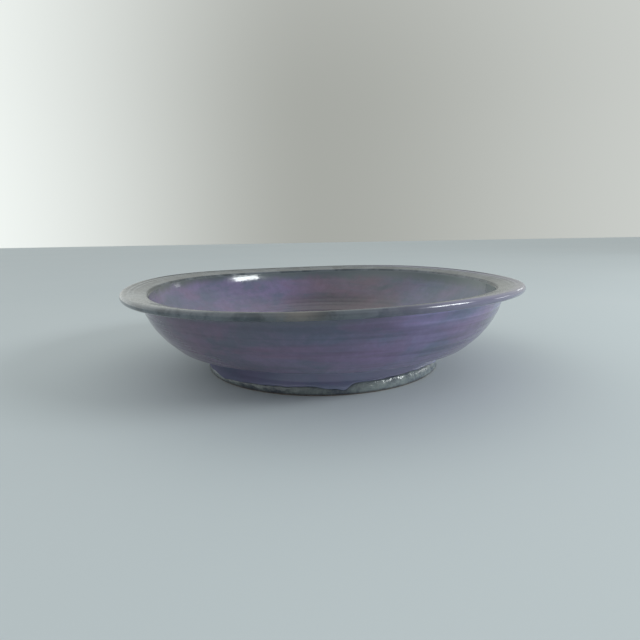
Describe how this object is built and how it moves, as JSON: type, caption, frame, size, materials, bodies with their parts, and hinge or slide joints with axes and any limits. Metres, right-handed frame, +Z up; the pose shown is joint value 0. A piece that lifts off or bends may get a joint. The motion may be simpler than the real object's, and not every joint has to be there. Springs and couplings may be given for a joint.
{
  "type": "stoneware bowl",
  "caption": "Wide shallow wheel-thrown stoneware bowl with a flat flange rim and a foot ring, glossy purple glaze over clay.",
  "frame": {"origin": "centre of the foot ring's underside, on the surface that the bowl stands on", "axes": "+Z up along the bowl's axis; the bowl is round, so +X is any radius"},
  "size_m": [0.2812, 0.2812, 0.0621],
  "materials": {
    "bare_stoneware": "unglazed, fine grog, matte",
    "liner_purple_glaze": "glossy mottled purple glaze over throwing rings",
    "rim_grey_glaze": "glossy grey-green glaze that breaks brown on the lip",
    "outer_purple_glaze": "glossy mottled purple and blue-grey glaze",
    "foot_olive_glaze": "thin dark olive glaze, satin to gloss",
    "recess_glaze": "thin glossy purple-grey glaze",
    "run_glaze": "thick glossy glaze roll, blue-grey where it pooled"
  },
  "bodies": {
    "root": {"clay_body": "bare_stoneware", "foot_ring": "bare_stoneware", "liner_glaze": "liner_purple_glaze", "rim_glaze": "rim_grey_glaze", "outer_glaze": "outer_purple_glaze", "foot_glaze": "foot_olive_glaze", "recess_glaze": "recess_glaze", "glaze_runs": "run_glaze"}
  },
  "joints": []
}
